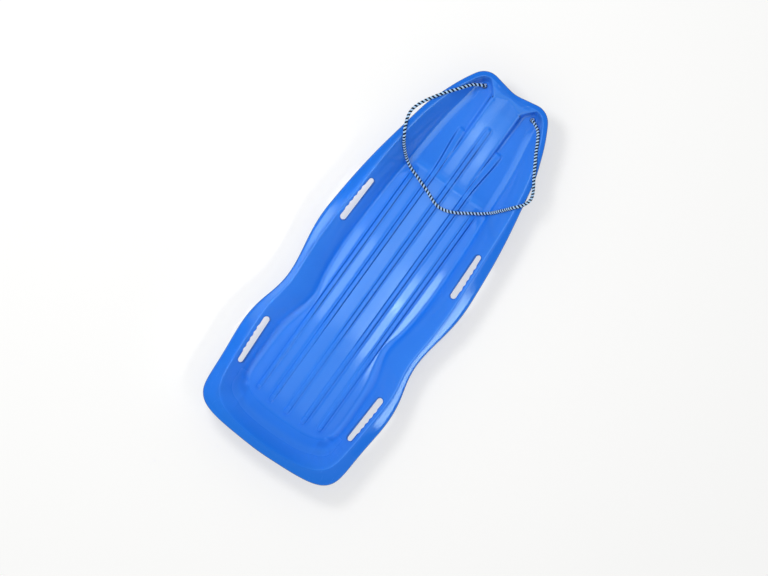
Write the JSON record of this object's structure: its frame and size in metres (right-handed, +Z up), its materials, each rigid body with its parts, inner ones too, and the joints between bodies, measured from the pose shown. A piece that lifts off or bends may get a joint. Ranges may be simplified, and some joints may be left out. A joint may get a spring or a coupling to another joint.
{
  "type": "toboggan sled",
  "caption": "Long moulded plastic toboggan for two riders, with ribbed floor, hand slots in the walls, a lobed nose and a twisted pull rope.",
  "frame": {"origin": "on the ground under the middle of the shell, measured without the rope", "axes": "+X from the seat to the nose, +Y to the rider's left, +Z up"},
  "size_m": [1.22, 0.488, 0.123],
  "materials": {
    "shell_plastic": "smooth glossy moulded polyethylene",
    "rope": "twisted black and white strands"
  },
  "bodies": {
    "root": {"sled_shell": "shell_plastic", "pull_rope": "rope", "stopper_knot_left": "rope", "stopper_knot_right": "rope"}
  },
  "joints": []
}
